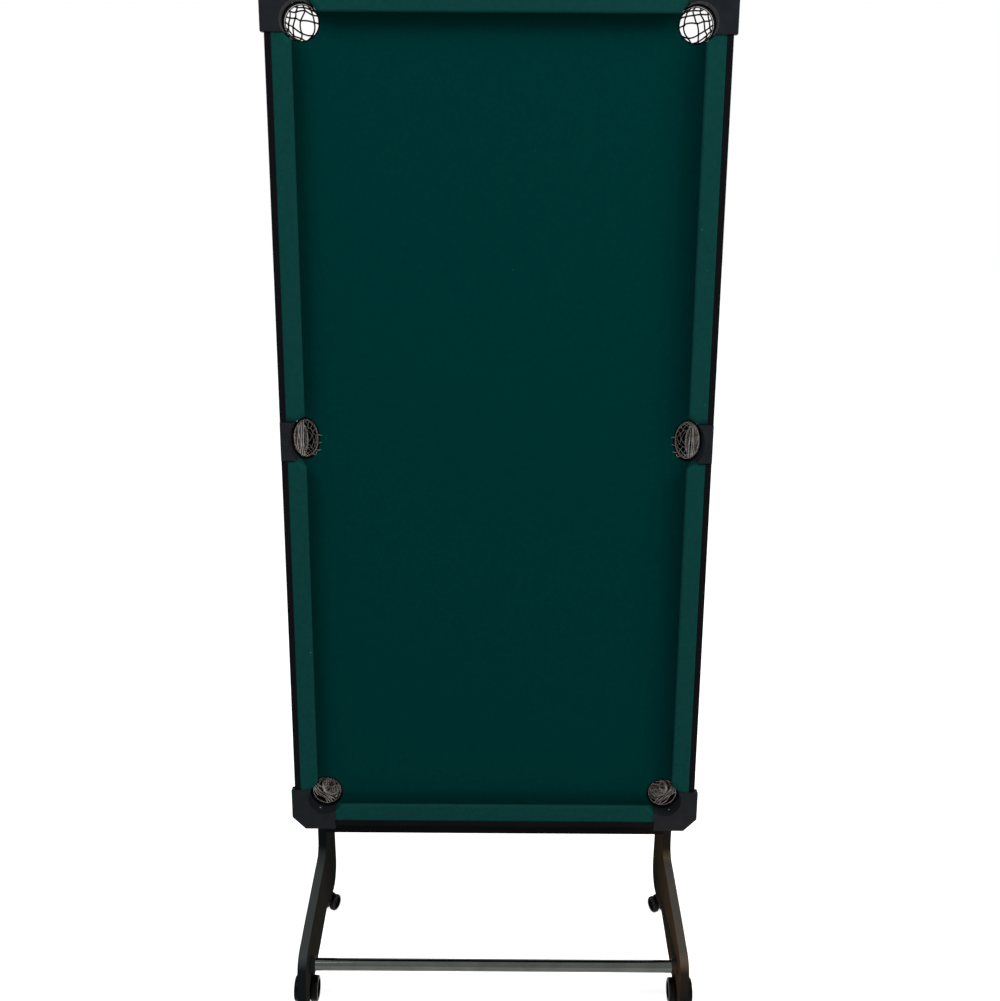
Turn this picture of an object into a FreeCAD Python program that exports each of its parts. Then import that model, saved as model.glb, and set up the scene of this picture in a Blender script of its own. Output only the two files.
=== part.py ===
import FreeCAD, Part
import math
import os

# Folding billiard table, stowed upright on its wheeled base.
# Millimetres. X runs across the table, Z is up, and -Y faces the person looking at the playing surface.
# Sizes below are counted from the plane of the rail tops (Y = 0) and from the floor (Z = 0).
# At the end everything is moved along Y so that the origin lies under the middle of the whole object.

# Table top
table_length = 1830.0        # over the corner caps
table_width = 935.0          # over the corner caps
table_low = 333.0            # height of the lower caps above the floor when stowed
cap_skirt = 7.5              # wall of a corner cap, outside the frame
cap_lip = 16.0               # how far that wall comes down the frame
frame_board = 13.5           # thickness of the four frame boards
frame_depth = 96.0           # from the rail tops to the bottom edge of the frame
rail_width = 39.5            # from the frame's inner face to the cushion's nose
nose_bevel = 3.5
nose_drop = 5.0              # nose below the rail top
rail_foot = 24.0             # width of the cushion where it meets the cloth
bed_drop = 35.0              # playing cloth below the rail tops
cloth = 2.0
bed_board = 12.0
batten_width = 40.0
batten_depth = 30.0
batten_from_middle = 160.0    # the two battens beside the side pockets

# Pockets
corner_pocket_in = 68.0      # pocket centre from both outer faces of the frame
side_pocket_in = 48.0        # pocket centre from the outer face of the frame
pocket_radius = 37.5         # the corner pockets are round
side_pocket_across = 31.0    # the side pockets are oval: half their width across the table
side_pocket_along = 46.0     # and half their length along it
ring_wall = 2.2
ring_depth = 15.0
ring_play = 0.3
net_wall = 2.0
net_depth = 104.0            # of the two far nets, which hang free
net_leg_play = 0.6           # the other four end this far in front of the legs
net_play = 0.4
side_gap = 83.0              # between the rail ends at a side pocket
side_mouth = 112.0           # between the noses at a side pocket
rail_pocket_play = 2.0

# Caps
cap_arm = 98.0
cap_chamfer = 29.5
cap_plate = 3.0
side_cap_width = 32.0
screw_radius = 3.6
screw_head = 1.6
screw_depth = 24.0           # the caps' screws face the pockets, this far below the rail top
screw_turn = 67.0            # degrees round the pocket, from the table's width towards its end

# Base
leg_set_in = 51.0            # inner face of every leg from the outer face of the frame
leg_thickness = 19.0
hinge_height = 668.0
hinge_back = 30.0            # hinge axis behind the upright's front face, and its top radius
leg_bottom = 14.0            # the foot's underside between the front wheels
toe_front = -232.0
toe_radius = 26.0
toe_flat_end = -140.0        # where the foot's underside starts to rise
arch_top = 69.0
heel_flat_start = 150.0
heel_bottom = 46.0
shoulder_behind_link = 24.0   # the upright's rear edge behind the link's pivot
cross_low = 262.0
cross_height = 95.0
cross_depth = 25.0
bend_top = 238.0             # where the upright's front face starts to bend forward
heel_back = 254.0
heel_radius = 50.0
bar_radius = 13.5
bar_wall = 2.0
bar_y = -172.0
bar_z = 95.0
collar_radius = 17.0
collar_length = 12.5
bumper_height = 7.0          # from the frame's lower edge to the uprights' front
bumper_length = 60.0
bumper_width = 11.0
bumper_set_in = 160.0        # middle of a pad from the outer face of the frame

# Hinges, links and bolts
pin_radius = 6.0
run_play = 0.06              # radial clearance of every running fit
side_play = 0.3              # clearance between faces that pass each other
plate = 4.0
bracket_radius = 22.0
bracket_height = 60.0
bracket_flange = 40.0
head_radius = 11.0
head_length = 6.0
far_hinge_from_end = 410.0   # far hinge axis from the far end of the table top
link_width = 24.0
link_thickness = 5.0
link_back = 45.0             # link pivots behind the hinge axes
link_below = 60.0            # link pivots below the hinge axes
loop_play = 0.4              # clearance round the pin at the link's far end
lock_radius = 4.0
lock_reach = 45.0            # lock holes from the hinge axis
lock_sector = 57.0
lock_hole_play = 0.5
lock_travel = 8.0
lock_barrel_radius = 9.0
lock_barrel_length = 10.0
knob_radius = 12.0
knob_length = 13.5
knob_round = 2.4

# Far legs
far_leg_foot_width = 44.0
lobe_behind_link = 19.2
far_bar_radius = 12.5
far_bar_wall = 1.8
far_bar_lower_above_sole = 150.0
far_bar_upper_above_sole = 420.0
leveller_radius = 18.0
leveller_height = 9.0
leveller_screw = 5.0
leveller_screw_length = 38.0
leveller_gap = 6.0

# Front wheels, one on each side of the toe
wheel_radius = 28.0
wheel_width = 16.5
wheel_round = 4.0
wheel_dish = 5.2             # depth of the hollow in a wheel's outer face
wheel_y = -165.0
axle_radius = 5.0

# Swivel casters under the heels
caster_radius = 20.0
caster_wheel_width = 11.5
caster_round = 3.0
caster_dish = 3.0
caster_hood_width = 12.0
caster_trail = 8.0
caster_y = 178.0
caster_swivel = 25.0         # degrees, trailing inwards at rest
caster_stem = 5.5
caster_stem_length = 34.0
caster_axle = 3.0
tread_play = 0.6
hood_neck = 8.5              # the hood's front edge ahead of the stem's axis
neck_low = 34.0              # where the hood's neck starts to widen, above the floor
hood_top_behind_axle = 2.0

overrun = 5.0

# Places worked out from the sizes above
upright_front = frame_depth + bumper_height
frame_half = table_width / 2 - cap_skirt
frame_low = table_low + cap_skirt
frame_high = table_low + table_length - cap_skirt
inner_half = frame_half - frame_board
inner_low = frame_low + frame_board
inner_high = frame_high - frame_board
nose_half = inner_half - rail_width
middle_z = table_low + table_length / 2
bed_back = bed_drop + cloth + bed_board
hinge_y = upright_front + hinge_back
far_hinge_z = table_low + table_length - far_hinge_from_end
sole_z = far_hinge_z - hinge_height
leg_inner = frame_half - leg_set_in
leg_outer = leg_inner + leg_thickness
leg_middle = leg_inner + leg_thickness / 2
link_y = hinge_y + link_back
link_inner_x = leg_outer + side_play
link_outer_x = link_inner_x + link_thickness
net_start = bed_drop + ring_depth + net_play
sides = {"left": -1, "right": 1}
ends = {"near": -1, "far": 1}


def v(x, y, z):
    return FreeCAD.Vector(x, y, z)


def block(x0, x1, y0, y1, z0, z1):
    """A box between pairs of limits, in either order."""
    low = v(min(x0, x1), min(y0, y1), min(z0, z1))
    return Part.makeBox(abs(x1 - x0), abs(y1 - y0), abs(z1 - z0), low)


def rod_x(x0, x1, y, z, radius):
    return Part.makeCylinder(radius, abs(x1 - x0), v(min(x0, x1), y, z), v(1, 0, 0))


def rod_y(y0, y1, x, z, radius):
    return Part.makeCylinder(radius, y1 - y0, v(x, y0, z), v(0, 1, 0))


def rod_z(z0, z1, x, y, radius):
    return Part.makeCylinder(radius, z1 - z0, v(x, y, z0), v(0, 0, 1))


def slab_xz(points, y0, y1):
    """A flat outline of (x, z) points, carried from y0 to y1."""
    wire = Part.makePolygon([v(x, y0, z) for x, z in points + points[:1]])
    return Part.Face(wire).extrude(v(0, y1 - y0, 0))


def slab_yz(edges, x0, x1):
    """A flat outline of edges in the plane X = 0, carried from x0 to x1."""
    face = Part.Face(Part.Wire(edges))
    face.translate(v(min(x0, x1), 0, 0))
    return face.extrude(v(abs(x1 - x0), 0, 0))


def line(a, b):
    return Part.LineSegment(v(0, *a), v(0, *b)).toShape()


def arc(a, b, c):
    return Part.Arc(v(0, *a), v(0, *b), v(0, *c)).toShape()


def curve(points):
    """A smooth curve through (y, z) points."""
    spline = Part.BSplineCurve()
    spline.interpolate([v(0, y, z) for y, z in points])
    return spline.toShape()


def both(shape):
    """The shape and its mirror image across the middle plane, as one group."""
    return Part.makeCompound([shape, mirrored(shape)])


def mirrored(shape):
    return shape.mirror(v(0, 0, 0), v(1, 0, 0))


def on_side(shape, side):
    """A shape drawn on the right-hand side, put on the side that is asked for."""
    return shape if side > 0 else mirrored(shape)


def pocket_centre(side, place):
    """(x, z) of a pocket: place is -1 for the near corner, 0 for the side and 1 for the far corner."""
    if place == 0:
        return side * (frame_half - side_pocket_in), middle_z
    end_z = frame_low if place < 0 else frame_high
    return side * (frame_half - corner_pocket_in), end_z - place * corner_pocket_in


def all_pockets():
    return [(side, place) for side in (-1, 1) for place in (-1, 0, 1)]


def pocket_hole(side, place, grow, y0, y1):
    """A pocket's opening, larger all round by grow, carried from y0 to y1."""
    x, z = pocket_centre(side, place)
    if place:
        return rod_y(y0, y1, x, z, pocket_radius + grow)
    longest = v(x, y0, z + side_pocket_along + grow)
    shortest = v(x + side_pocket_across + grow, y0, z)
    oval = Part.Ellipse(longest, shortest, v(x, y0, z)).toShape()
    return Part.Face(Part.Wire(oval)).extrude(v(0, y1 - y0, 0))


def corner_wedge(side, end, cut, y0, y1):
    """The triangle that a chamfer takes off one corner of the frame."""
    x = side * frame_half
    z = frame_low if end < 0 else frame_high
    out = side * overrun
    up = end * overrun
    points = [
        (x + out, z + up),
        (x + out, z - end * cut),
        (x, z - end * cut),
        (x - side * cut, z),
        (x - side * cut, z + up),
    ]
    return slab_xz(points, y0, y1)


# The frame's corners are cut back inside the caps' chamfers by the caps' own wall
frame_chamfer = cap_chamfer - 2 * cap_skirt + cap_skirt * math.sqrt(2)


def frame_side(side):
    """One long frame board, bevelled at both ends inside the corner caps."""
    board = block(side * inner_half, side * frame_half, 0, frame_depth, frame_low, frame_high)
    for end in (-1, 1):
        board = board.cut(corner_wedge(side, end, frame_chamfer, -overrun, frame_depth + overrun))
    return board


def frame_end(end):
    """One short frame board, between the long ones."""
    z_out = frame_low if end < 0 else frame_high
    board = block(-inner_half, inner_half, 0, frame_depth, z_out, z_out - end * frame_board)
    for side in (-1, 1):
        board = board.cut(corner_wedge(side, end, frame_chamfer, -overrun, frame_depth + overrun))
    return board


def bed(y0, y1):
    """A layer of the bed with its six pocket holes."""
    layer = block(-inner_half, inner_half, y0, y1, inner_low, inner_high)
    for side, place in all_pockets():
        layer = layer.cut(pocket_hole(side, place, 0, y0 - overrun, y1 + overrun))
    return layer


def bed_boards():
    """The bed board in three lengths, which meet on the battens beside the side pockets."""
    board = bed(bed_drop + cloth, bed_back)
    ends_z = [inner_low, middle_z - batten_from_middle, middle_z + batten_from_middle, inner_high]
    lengths = []
    for low, high in zip(ends_z, ends_z[1:]):
        lengths.append(board.common(block(-inner_half, inner_half, bed_drop, bed_back, low, high)))
    return Part.makeCompound(lengths)


def rail_outline():
    """The cushion's section as (distance from the frame, depth below the rail top)."""
    return [(0, 0), (rail_width - nose_bevel, 0), (rail_width, nose_drop), (rail_foot, bed_drop), (0, bed_drop)]


def side_rail(side, end):
    """One long cushion, from a corner pocket to the side pocket's angled mouth."""
    z_end = inner_low if end < 0 else inner_high
    z_mid = middle_z + end * side_gap / 2
    section = [v(side * (inner_half - t), y, z_end) for t, y in rail_outline()]
    face = Part.Face(Part.makePolygon(section + section[:1]))
    rail = face.extrude(v(0, 0, z_mid - z_end))
    # The mouth opens from the cap's inner edge to the nose
    x_turn = frame_half - side_cap_width
    mouth = [
        (side * x_turn, z_mid),
        (side * nose_half, middle_z + end * side_mouth / 2),
        (side * (nose_half - overrun), middle_z + end * side_mouth / 2),
        (side * (nose_half - overrun), middle_z),
        (side * x_turn, middle_z),
    ]
    rail = rail.cut(slab_xz(mouth, -overrun, bed_drop + overrun))
    return rail.cut(pocket_hole(side, end, rail_pocket_play, -overrun, bed_drop + overrun))


def end_rail(end):
    """A short cushion between two corner pockets."""
    z_frame = inner_low if end < 0 else inner_high
    section = [v(-nose_half, y, z_frame - end * t) for t, y in rail_outline()]
    face = Part.Face(Part.makePolygon(section + section[:1]))
    rail = face.extrude(v(2 * nose_half, 0, 0))
    for side in (-1, 1):
        rail = rail.cut(pocket_hole(side, end, rail_pocket_play, -overrun, bed_drop + overrun))
    return rail


def corner_cap(side, end):
    """A moulded cap: a plate with the pocket's notch, a lip round the frame, and a curtain down the pocket."""
    x_out = side * (frame_half + cap_skirt)
    z_out = table_low if end < 0 else table_low + table_length
    x_in = x_out - side * cap_arm
    z_in = z_out - end * cap_arm
    cut = cap_chamfer
    outline = [
        (x_out, z_in),
        (x_out, z_out - end * cut),
        (x_out - side * cut, z_out),
        (x_in, z_out),
        (x_in, z_in),
    ]
    cap = slab_xz(outline, -cap_plate, cap_lip)
    x_frame = side * frame_half
    z_frame = frame_low if end < 0 else frame_high
    c = frame_chamfer
    past_x = x_in - side * overrun
    past_z = z_in - end * overrun
    inside = [
        (x_frame, past_z),
        (x_frame, z_frame - end * c),
        (x_frame - side * c, z_frame),
        (past_x, z_frame),
        (past_x, past_z),
    ]
    cap = cap.cut(slab_xz(inside, 0, cap_lip + overrun))
    curtain = pocket_hole(side, end, rail_pocket_play - side_play, -cap_plate, bed_drop - ring_play)
    curtain = curtain.common(block(x_in, x_out, -cap_plate, bed_drop, z_in, z_out))
    return cap.fuse(curtain).cut(pocket_hole(side, end, 0, -cap_plate - overrun, bed_drop)).removeSplitter()


def side_cap(side):
    """The cap over a side pocket: a plate on the frame and a curtain down to the bed, hollowed by the pocket."""
    low = middle_z - side_gap / 2
    high = middle_z + side_gap / 2
    top = block(side * frame_half, side * (frame_half - side_cap_width), -cap_plate, 0, low, high)
    inner_x = side * (frame_half - side_cap_width)
    curtain = block(side * inner_half, inner_x, 0, bed_drop - ring_play, low + side_play, high - side_play)
    return top.fuse(curtain).cut(pocket_hole(side, 0, 0, -cap_plate - overrun, bed_drop)).removeSplitter()


def pocket_ring(side, place):
    """A liner through the bed, which carries the net."""
    end = bed_drop + ring_depth
    tube = pocket_hole(side, place, -ring_play, bed_drop, end)
    return tube.cut(pocket_hole(side, place, -ring_play - ring_wall, bed_drop - overrun, end + overrun))


# A net's outer radius and depth, as shares of its mouth radius and of its own depth
net_radius_shares = [1.0, 0.99, 0.9, 0.7, 0.6, 0.5]
net_depth_shares = [0.0, 0.16, 0.34, 0.56, 0.78, 0.93]


def pocket_net(side, place):
    """A hanging net bag, open at its mouth: one closed shell, stretched along the table under a side pocket."""
    x, z = pocket_centre(side, place)
    mouth = (pocket_radius if place else side_pocket_across) - ring_play
    depth = net_depth if place > 0 else upright_front - net_leg_play - net_start

    def side_line(shrink):
        """Points down the side of the bag, moved inwards by shrink, ending on the axis."""
        steps = zip(net_radius_shares, net_depth_shares)
        points = [v(r * mouth - shrink, net_start + d * depth, 0) for r, d in steps]
        return points + [v(0, net_start + depth - shrink, 0)]

    outer = side_line(0)
    inner = side_line(net_wall)
    ring = outer + inner[::-1]
    face = Part.Face(Part.makePolygon(ring + ring[:1]))
    bag = face.revolve(v(0, 0, 0), v(0, 1, 0), 360)
    if not place:
        stretch = FreeCAD.Matrix()
        stretch.scale(1, 1, (side_pocket_along - ring_play) / mouth)
        bag = bag.transformGeometry(stretch)
    bag.translate(v(x, 0, z))
    return bag


def batten(z):
    """One cross batten behind the bed, between the long frame boards."""
    half = batten_width / 2
    return block(-inner_half, inner_half, bed_back, bed_back + batten_depth, z - half, z + half)


def battens():
    """Two battens carry the hinges, and two flank the side pockets."""
    places = (hinge_height, middle_z - batten_from_middle, middle_z + batten_from_middle, far_hinge_z)
    return Part.makeCompound([batten(z) for z in places])


def bracket(x_face, z, with_lock):
    """A hinge bracket: a flange on a batten's back and a plate out to the hinge axis."""
    back = bed_back + batten_depth
    x_plate = x_face - plate
    half = bracket_height / 2
    flange = block(x_face, x_plate - bracket_flange, back, back + plate, z - half, z + half)
    web = block(x_face, x_plate, back, hinge_y, z - bracket_radius, z + bracket_radius)
    body = flange.fuse(web).fuse(rod_x(x_face, x_plate, hinge_y, z, bracket_radius))
    if with_lock:
        # A quarter disc with one lock hole for the stowed top and one for the flat top
        disc = rod_x(x_face, x_plate, hinge_y, z, lock_sector)
        margin = lock_sector - lock_reach
        quarter = block(x_face, x_plate, hinge_y - margin, hinge_y + lock_sector, z - lock_sector, z + margin)
        body = body.fuse(disc.common(quarter))
        for y_hole, z_hole in ((hinge_y, z - lock_reach), (hinge_y + lock_reach, z)):
            hole_radius = lock_radius + lock_hole_play
            body = body.cut(rod_x(x_face + overrun, x_plate - overrun, y_hole, z_hole, hole_radius))
    bore = rod_x(x_face + overrun, x_plate - overrun, hinge_y, z, pin_radius + run_play)
    return body.cut(bore).removeSplitter()


def hinge_bracket(side):
    return on_side(bracket(leg_inner - side_play, hinge_height, True), side)


def far_bracket(side):
    return on_side(bracket(leg_inner - side_play, far_hinge_z, False), side)


def stop_bumpers():
    """Two rubber pads on the frame's lower edge, which rest on the cross rail."""
    middle = frame_low + frame_board / 2
    low = middle - bumper_width / 2
    high = middle + bumper_width / 2
    start = frame_half - bumper_set_in - bumper_length / 2
    end = start + bumper_length
    return both(block(start, end, frame_depth, upright_front - side_play, low, high))


def cap_screws():
    """Small round-headed screws in the corner caps' curtains, facing the middle of the pockets."""
    screws = []
    for side in (-1, 1):
        for end in (-1, 1):
            x, z = pocket_centre(side, end)
            # The head's flat back touches the round curtain at both sides
            reach = math.sqrt(pocket_radius ** 2 - screw_radius ** 2)
            turn = math.radians(screw_turn)
            away = v(side * math.cos(turn), 0, end * math.sin(turn))
            start = v(x, screw_depth, z) + away * reach
            screws.append(Part.makeCylinder(screw_radius, screw_head, start, away * -1))
    return Part.makeCompound(screws)


# The foot's upper edge, as shares of the way from the upright's face to the toe
# and of the height up to the bend
foot_top_shares = [
    (0, 1), (0.018, 0.915), (0.051, 0.862), (0.113, 0.835), (0.415, 0.741), (0.693, 0.652),
    (0.824, 0.603), (0.904, 0.571), (0.961, 0.504), (0.988, 0.402), (1, 0.272),
]
# The foot's underside, as shares of the way from the toe's flat to the heel's and of the arch's height
foot_arch_shares = [
    (0, 0), (0.07, 0.18), (0.16, 0.35), (0.31, 0.47), (0.48, 0.64),
    (0.65, 0.84), (0.79, 0.98), (0.88, 0.93), (0.96, 0.7),
]
# The bend between the upright's shoulder and its round top, as shares of the shoulder's reach behind
# the link's pivot and of the link pivot's drop below the hinge
shoulder_bend_shares = (0.8, 0.5)


def foot_top():
    """The (y, z) points of the foot's upper edge, from the bend down to the toe's face."""
    reach = toe_front - upright_front
    rise = bend_top - leg_bottom
    return [(upright_front + a * reach, leg_bottom + b * rise) for a, b in foot_top_shares]


def foot_arch():
    """The (y, z) points of the foot's underside, from behind the front wheels to the heel."""
    reach = heel_flat_start - toe_flat_end
    rise = arch_top - leg_bottom
    points = [(toe_flat_end + a * reach, leg_bottom + b * rise) for a, b in foot_arch_shares]
    return points + [(heel_flat_start, heel_bottom)]


def corner_arc(y, z, radius, toward):
    """A quarter circle at the bottom of the leg about (y, z): toward is -1 at the toe and 1 at the heel."""
    step = radius * math.sqrt(0.5)
    side_point = (y + toward * radius, z)
    low_point = (y, z - radius)
    middle = (y + toward * step, z - step)
    return arc(side_point, middle, low_point) if toward < 0 else arc(low_point, middle, side_point)


def base_leg(side):
    """A curved plank: upright behind the table, heel, arch, and a foot that runs between the front wheels."""
    top = hinge_height + hinge_back
    rear = hinge_y + hinge_back
    shoulder = (link_y + shoulder_behind_link, hinge_height - link_below)
    reach_share, drop_share = shoulder_bend_shares
    bend = (link_y + reach_share * shoulder_behind_link, hinge_height - drop_share * link_below)
    toe_z = leg_bottom + toe_radius
    heel_y = heel_back - heel_radius
    heel_z = heel_bottom + heel_radius
    edges = [
        line((upright_front, hinge_height), (upright_front, bend_top)),
        curve(foot_top()),
        line(foot_top()[-1], (toe_front, toe_z)),
        corner_arc(toe_front + toe_radius, toe_z, toe_radius, -1),
        line((toe_front + toe_radius, leg_bottom), (toe_flat_end, leg_bottom)),
        curve(foot_arch()),
        line((heel_flat_start, heel_bottom), (heel_y, heel_bottom)),
        corner_arc(heel_y, heel_z, heel_radius, 1),
        line((heel_back, heel_z), shoulder),
        curve([shoulder, bend, (rear, hinge_height)]),
        arc((rear, hinge_height), (hinge_y, top), (upright_front, hinge_height)),
    ]
    leg = slab_yz(edges, leg_inner, leg_outer)
    x0 = leg_inner - overrun
    x1 = leg_outer + overrun
    leg = leg.cut(rod_x(x0, x1, hinge_y, hinge_height, pin_radius + run_play))
    leg = leg.cut(rod_x(x0, x1, hinge_y, hinge_height - lock_reach, lock_radius + run_play))
    leg = leg.cut(rod_x(x0, x1, link_y, hinge_height - link_below, pin_radius + run_play))
    leg = leg.cut(rod_x(x0, x1, wheel_y, wheel_radius, axle_radius + run_play))
    socket_top = heel_bottom + caster_stem_length
    leg = leg.cut(rod_z(heel_bottom - overrun, socket_top, leg_middle, caster_y, caster_stem + run_play))
    return on_side(leg, side)


def cross_rail():
    """A deep board between the uprights, which the stowed top leans on."""
    high = cross_low + cross_height
    return block(-leg_inner, leg_inner, upright_front, upright_front + cross_depth, cross_low, high)


def foot_bar():
    """The bright round tube between the toes."""
    tube = rod_x(-leg_inner, leg_inner, bar_y, bar_z, bar_radius)
    return tube.cut(rod_x(-leg_inner - overrun, leg_inner + overrun, bar_y, bar_z, bar_radius - bar_wall))


def bar_collars():
    """The sockets that hold the bright bar's ends."""
    start = leg_inner - collar_length
    ring = rod_x(start, leg_inner, bar_y, bar_z, collar_radius)
    ring = ring.cut(rod_x(start - overrun, leg_inner + overrun, bar_y, bar_z, bar_radius + run_play))
    return both(ring)


def hinge_bolts(z):
    """A pair of hinge bolts, through legs and brackets, with a head outside and a nut inside."""
    inner = leg_inner - plate - 2 * side_play
    shank = rod_x(inner - head_length, leg_outer + side_play, hinge_y, z, pin_radius)
    head = rod_x(leg_outer, leg_outer + head_length, hinge_y, z, head_radius)
    nut = rod_x(inner - head_length, inner, hinge_y, z, head_radius)
    return both(shank.fuse(head).fuse(nut).removeSplitter())


def link_pins(z):
    """A pair of pins through the legs and the drag links outside them, with a head at each end."""
    start = leg_inner - head_length
    end = link_outer_x + side_play
    shank = rod_x(start, end + side_play, link_y, z, pin_radius)
    inner_head = rod_x(start, leg_inner, link_y, z, head_radius)
    outer_head = rod_x(end, end + head_length, link_y, z, head_radius)
    return both(shank.fuse(inner_head).fuse(outer_head).removeSplitter())


def lock_barrels():
    """The lock bolts' guides, on the uprights' outer faces."""
    z = hinge_height - lock_reach
    end = leg_outer + lock_barrel_length
    tube = rod_x(leg_outer, end, hinge_y, z, lock_barrel_radius)
    bore = rod_x(leg_outer - overrun, end + overrun, hinge_y, z, lock_radius + run_play)
    return both(tube.cut(bore))


def lock_bolt(side):
    """A sliding lock bolt with its knob, drawn back: pushed in, it enters the bracket's hole."""
    z = hinge_height - lock_reach
    start = leg_inner + side_play
    knob_start = leg_outer + lock_barrel_length + lock_travel + side_play
    pin = rod_x(start, knob_start + side_play, hinge_y, z, lock_radius)
    knob = rod_x(knob_start, knob_start + knob_length, hinge_y, z, knob_radius)
    knob = knob.makeFillet(knob_round, [e for e in knob.Edges if e.Curve.TypeId == "Part::GeomCircle"])
    return on_side(pin.fuse(knob), side)


def drag_link(side):
    """A flat steel link that keeps the far legs upright while the top turns."""
    low = hinge_height - link_below
    high = far_hinge_z - link_below
    half = link_width / 2
    bar = block(link_inner_x, link_outer_x, link_y - half, link_y + half, low, high)
    for z in (low, high):
        bar = bar.fuse(rod_x(link_inner_x, link_outer_x, link_y, z, half))
    bar = bar.cut(rod_x(link_inner_x - overrun, link_outer_x + overrun, link_y, low, pin_radius + run_play))
    bar = bar.cut(rod_x(link_inner_x - overrun, link_outer_x + overrun, link_y, high, pin_radius + loop_play))
    return on_side(bar.removeSplitter(), side)


# The far leg's rear edge below the lobe, as shares of the way from the foot's back edge out to the lobe
# and of the link pivot's drop below the hinge
far_leg_rear_shares = [(0.1, 3.4), (0.71, 2.0), (1.0, 1.0)]
# The bend from the lobe up to the hinge, as shares of the way from the hinge's rear out to the lobe
# and of that drop
lobe_bend_shares = (0.79, 0.5)


def far_leg(side):
    """A tapered plank that hangs behind the stowed top, with a lobe for the drag link."""
    z = far_hinge_z
    rear = hinge_y + hinge_back
    lobe_y = link_y + lobe_behind_link
    lobe_z = z - link_below
    low = sole_z + leveller_height + leveller_gap
    foot_back = upright_front + far_leg_foot_width
    rear_edge = [(foot_back + a * (lobe_y - foot_back), z - b * link_below) for a, b in far_leg_rear_shares]
    out_share, drop_share = lobe_bend_shares
    bend = (rear + out_share * (lobe_y - rear), z - drop_share * link_below)
    edges = [
        line((upright_front, z), (upright_front, low)),
        line((upright_front, low), (foot_back, low)),
        line((foot_back, low), rear_edge[0]),
        curve(rear_edge),
        curve([rear_edge[-1], bend, (rear, z)]),
        arc((rear, z), (hinge_y, z + hinge_back), (upright_front, z)),
    ]
    leg = slab_yz(edges, leg_inner, leg_outer)
    x0 = leg_inner - overrun
    x1 = leg_outer + overrun
    leg = leg.cut(rod_x(x0, x1, hinge_y, z, pin_radius + run_play))
    leg = leg.cut(rod_x(x0, x1, link_y, lobe_z, pin_radius + run_play))
    middle = upright_front + far_leg_foot_width / 2
    screw_top = low + leveller_screw_length
    leg = leg.cut(rod_z(low - overrun, screw_top, leg_middle, middle, leveller_screw + run_play))
    return on_side(leg, side)


def far_bars():
    """Two round tubes between the far legs."""
    x = leg_inner
    y = upright_front + far_leg_foot_width / 2
    bore_radius = far_bar_radius - far_bar_wall
    tubes = []
    for height in (far_bar_lower_above_sole, far_bar_upper_above_sole):
        z = sole_z + height
        tube = rod_x(-x, x, y, z, far_bar_radius)
        tubes.append(tube.cut(rod_x(-x - overrun, x + overrun, y, z, bore_radius)))
    return Part.makeCompound(tubes)


def leveller(side):
    """A screw foot under a far leg."""
    y = upright_front + far_leg_foot_width / 2
    pad = rod_z(sole_z, sole_z + leveller_height, leg_middle, y, leveller_radius)
    top = sole_z + leveller_height + leveller_screw_length - side_play
    screw = rod_z(sole_z + leveller_height / 2, top, leg_middle, y, leveller_screw)
    return on_side(pad.fuse(screw).removeSplitter(), side)


def wheel_pair(centre, radius, gap, width, rounding, dish, axle):
    """Two wheels on one axle along X, gap apart: three solids that roll together."""
    inner = leg_middle + gap / 2
    outer = inner + width
    wheel = rod_x(inner, outer, centre, radius, radius)
    rims = [e for e in wheel.Edges if e.Curve.TypeId == "Part::GeomCircle"]
    wheel = wheel.makeFillet(rounding, rims)
    wheel = wheel.cut(rod_x(outer - dish, outer + overrun, centre, radius, radius - 2 * rounding))
    wheel = wheel.cut(rod_x(inner - overrun, outer + overrun, centre, radius, axle))
    twin = wheel.mirror(v(leg_middle, 0, 0), v(1, 0, 0))
    reach = outer - dish - leg_middle
    pin = rod_x(leg_middle - reach, leg_middle + reach, centre, radius, axle)
    return Part.makeCompound([wheel, twin, pin])


def front_wheels(side):
    """The pair of wheels that flank the toe, with their axle through the leg."""
    gap = leg_thickness + 2 * side_play
    pair = wheel_pair(wheel_y, wheel_radius, gap, wheel_width, wheel_round, wheel_dish, axle_radius)
    return on_side(pair, side)


def swivelled(shape):
    """A caster piece turned about its stem, so that it trails inwards."""
    shape.rotate(v(leg_middle, caster_y, 0), v(0, 0, 1), caster_swivel)
    return shape


# Points round a caster's hood, as shares of the wheel's radius behind and above the axle: two down the front,
# one under the axle, the rearmost one and one above it
hood_shares = [(-0.72, 0.0), (-0.2, -0.62), (0.5, -0.35), (0.92, 0.0), (0.7, 0.7)]


def caster_hood(side):
    """A caster's narrow body between its wheels, with the stem that turns in the heel."""
    centre = caster_y + caster_trail
    x0 = leg_middle - caster_hood_width / 2
    x1 = leg_middle + caster_hood_width / 2
    r = caster_radius - tread_play
    top = heel_bottom - side_play
    front, low, under, back, over = [(centre + a * r, caster_radius + b * r) for a, b in hood_shares]
    neck = (caster_y - hood_neck, neck_low)
    corner = (caster_y - hood_neck, top)
    end = (centre + hood_top_behind_axle, top)
    edges = [
        line(corner, neck),
        curve([neck, front, low]),
        curve([low, under, back]),
        arc(back, over, end),
        line(end, corner),
    ]
    hood = slab_yz(edges, x0, x1)
    hood = hood.cut(rod_x(x0 - overrun, x1 + overrun, centre, caster_radius, caster_axle + run_play))
    stem_top = heel_bottom + caster_stem_length - side_play
    stem = rod_z(top - side_play, stem_top, leg_middle, caster_y, caster_stem)
    return on_side(swivelled(hood.fuse(stem).removeSplitter()), side)


def caster_wheels(side):
    """A caster's twin wheels."""
    gap = caster_hood_width + 2 * side_play
    centre = caster_y + caster_trail
    pair = wheel_pair(centre, caster_radius, gap, caster_wheel_width, caster_round, caster_dish, caster_axle)
    return on_side(swivelled(pair), side)


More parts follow.
